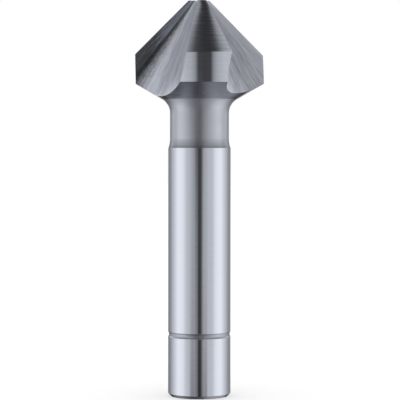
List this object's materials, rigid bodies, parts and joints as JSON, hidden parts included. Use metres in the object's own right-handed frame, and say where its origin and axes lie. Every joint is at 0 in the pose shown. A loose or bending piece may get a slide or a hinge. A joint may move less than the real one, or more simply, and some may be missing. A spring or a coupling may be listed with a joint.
{
  "type": "countersink bit",
  "caption": "Fluted conical countersink bit with a right-angled cutting cone, a short cylindrical land, a turned neck and a plain round shank.",
  "frame": {"origin": "centre of the shank's end face, which the bit stands on", "axes": "+Z along the tool's axis, from the shank to the cutting tip; -Y is the side the picture was taken from"},
  "size_m": [0.0205, 0.0181, 0.063],
  "materials": {
    "tool_steel": "ground and polished bare high speed steel"
  },
  "bodies": {
    "root": {"countersink_bit": "tool_steel"}
  },
  "joints": []
}
